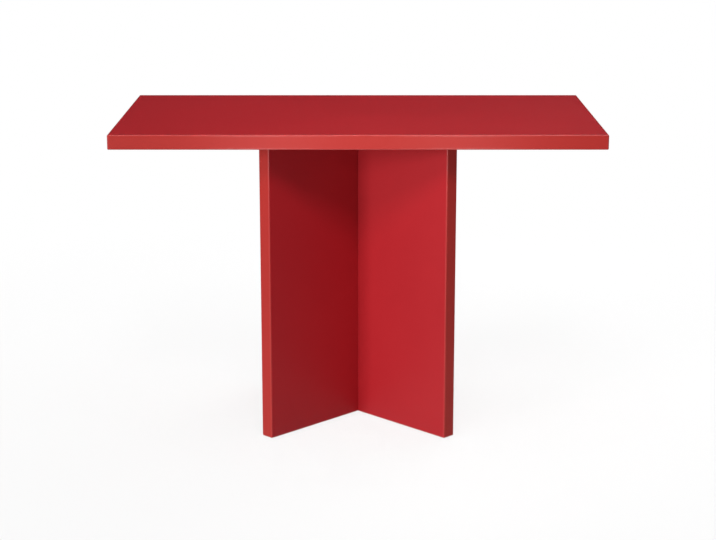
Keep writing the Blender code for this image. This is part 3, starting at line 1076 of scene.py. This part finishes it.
stage = {
    "floorRadius": 14.0, "floorSteps": 96, "floorHeight": -0.0004, "floorColour": (0.50, 0.50, 0.50, 1),
    "clearShare": 0.80, "fadeStart": 0.7, "fadeEnd": 2.2,     # the shadow fades out into white
    "ambient": (1.0, 1.0, 1.0, 1), "ambientStrength": 0.37,
    "flagRadius": 3.7, "flagSteps": 64, "flagBottom": -2.0, "flagTop": 6.5,
    "flagColour": (0.02, 0.02, 0.02, 1), "flagRoughness": 0.9,
}
openSpread = 180                                              # degrees, for a lamp that isn't narrowed
lights = {
    "key": {"place": (-11.32, -11.32, 2.6), "aim": (0, 0, 0.4), "size": (5.2, 5.2), "watts": 1840},
    "overhead": {"place": (0.5, -0.3, 3.3), "aim": (0, 0, 0.7), "size": (4.2, 2.2), "watts": 39},
    "front": {
        "place": (0, -2.6, 2.8), "aim": (0, -0.25, 0.55), "size": (1.2, 0.8), "watts": 2.72,
        "spread": 34, "glossy": False,
    },
    "leftBoard": {                                            # two reflector boards for the front edge
        "place": (-0.27, -0.9, 0.60), "aim": (-0.12, -0.3, 0.71), "size": (0.16, 0.14), "watts": 0.090,
        "spread": 56,
    },
    "rightBoard": {
        "place": (0.27, -0.9, 0.60), "aim": (0.20, -0.3, 0.71), "size": (0.16, 0.14), "watts": 0.068,
        "spread": 56,
    },
    "back": {
        "place": (1.6, 3.4, 2.2), "aim": (0, 0, 0.5), "size": (2.4, 1.6), "watts": 38, "glossy": False,
    },
    "backKey": {
        "place": (5.2, 6.1, 1.5), "aim": (0, 0, 0.4), "size": (4.4, 2.6), "watts": 285, "glossy": False,
    },
}
camera = {"place": (0, -4.098, 1.377), "pitch": math.radians(14.06), "lens": 88.3, "sensor": 36}


def stagePiece(name, shape, finish):
    mesh = bpy.data.meshes.new(name)
    shape.to_mesh(mesh)
    mesh.materials.append(finish)
    made = bpy.data.objects.new(name, mesh)
    bpy.context.scene.collection.objects.link(made)
    return made


def floorFinish():
    # grey to the light; seen directly it is nearly clear, so the white surround and the shadow both show,
    # and from beneath it is all clear
    finish, maker = newFinish("pale_floor")
    place = maker.objectPlace()
    reach = maker.node("ShaderNodeVectorMath", {"operation": "LENGTH"}, [place], "Value")
    far = maker.ramp(reach, stage["fadeStart"], stage["fadeEnd"])
    beneath = maker.node("ShaderNodeNewGeometry", output="Backfacing")
    share = stage["clearShare"] + (1 - stage["clearShare"]) * far.greatest(beneath)
    grey = maker.node("ShaderNodeBsdfDiffuse", {}, {"Color": stage["floorColour"]})
    shaded = maker.node("ShaderNodeBsdfDiffuse", {}, {"Color": white})
    clear = maker.node("ShaderNodeBsdfTransparent")
    seen = maker.node("ShaderNodeMixShader", {}, [share, shaded, clear])
    surface = maker.node("ShaderNodeMixShader", {}, [maker.seenDirectly(), grey, seen])
    maker.feed(finish.node_tree.nodes["Material Output"], {"Surface": surface})
    return finish


def makeStage():
    disc = bmesh.new()
    bmesh.ops.create_circle(
        disc, cap_ends=True, radius=stage["floorRadius"], segments=stage["floorSteps"],
        matrix=Matrix.Translation((0, 0, stage["floorHeight"])),
    )
    stagePiece("floor", disc, floorFinish())

    # dark flags round the set, seen only in reflections, keep the lacquer deep at a low angle
    dark, maker = newFinish("black_flag")
    setShader(maker, {
        "Base Color": stage["flagColour"],
        "Roughness": stage["flagRoughness"],
        "Specular IOR Level": 0,
    })
    band = bmesh.new()
    bmesh.ops.create_cone(
        band, cap_ends=False, segments=stage["flagSteps"], radius1=stage["flagRadius"],
        radius2=stage["flagRadius"], depth=stage["flagTop"] - stage["flagBottom"],
        matrix=Matrix.Translation((0, 0, (stage["flagTop"] + stage["flagBottom"]) / 2)),
    )
    flags = stagePiece("flags", band, dark)
    flags.visible_camera = False
    flags.visible_diffuse = False
    flags.visible_shadow = False
    flags.visible_transmission = False


def makeSurround():
    world = bpy.data.worlds.new("studio")
    world.use_nodes = True
    maker = NodeMaker(world.node_tree)
    dim = maker.node(
        "ShaderNodeBackground", {}, {"Color": stage["ambient"], "Strength": stage["ambientStrength"]}
    )
    bright = maker.node("ShaderNodeBackground", {}, {"Color": white, "Strength": 1})
    surface = maker.node("ShaderNodeMixShader", {}, [maker.seenDirectly(), dim, bright])
    maker.feed(world.node_tree.nodes["World Output"], {"Surface": surface})
    bpy.context.scene.world = world


def addLight(name, setup):
    lamp = bpy.data.lights.new(name, "AREA")
    lamp.shape = "RECTANGLE"
    lamp.size, lamp.size_y = setup["size"]
    lamp.energy = setup["watts"]
    lamp.spread = math.radians(setup.get("spread", openSpread))
    made = bpy.data.objects.new(name, lamp)
    bpy.context.scene.collection.objects.link(made)
    place = Vector(setup["place"])
    made.location = place
    made.rotation_euler = (Vector(setup["aim"]) - place).to_track_quat("-Z", "Y").to_euler()
    made.visible_camera = False
    made.visible_glossy = setup.get("glossy", True)


def addCamera():
    lens = bpy.data.cameras.new("camera")
    lens.sensor_width = camera["sensor"]
    lens.lens = camera["lens"]
    made = bpy.data.objects.new("camera", lens)
    bpy.context.scene.collection.objects.link(made)
    made.location = camera["place"]
    made.rotation_euler = (math.pi / 2 - camera["pitch"], 0, 0)
    bpy.context.scene.camera = made


makeStage()
makeSurround()
for name, setup in lights.items():
    addLight(name, setup)
addCamera()
bpy.context.scene.view_settings.view_transform = "Standard"
print("stage, lights and camera set")
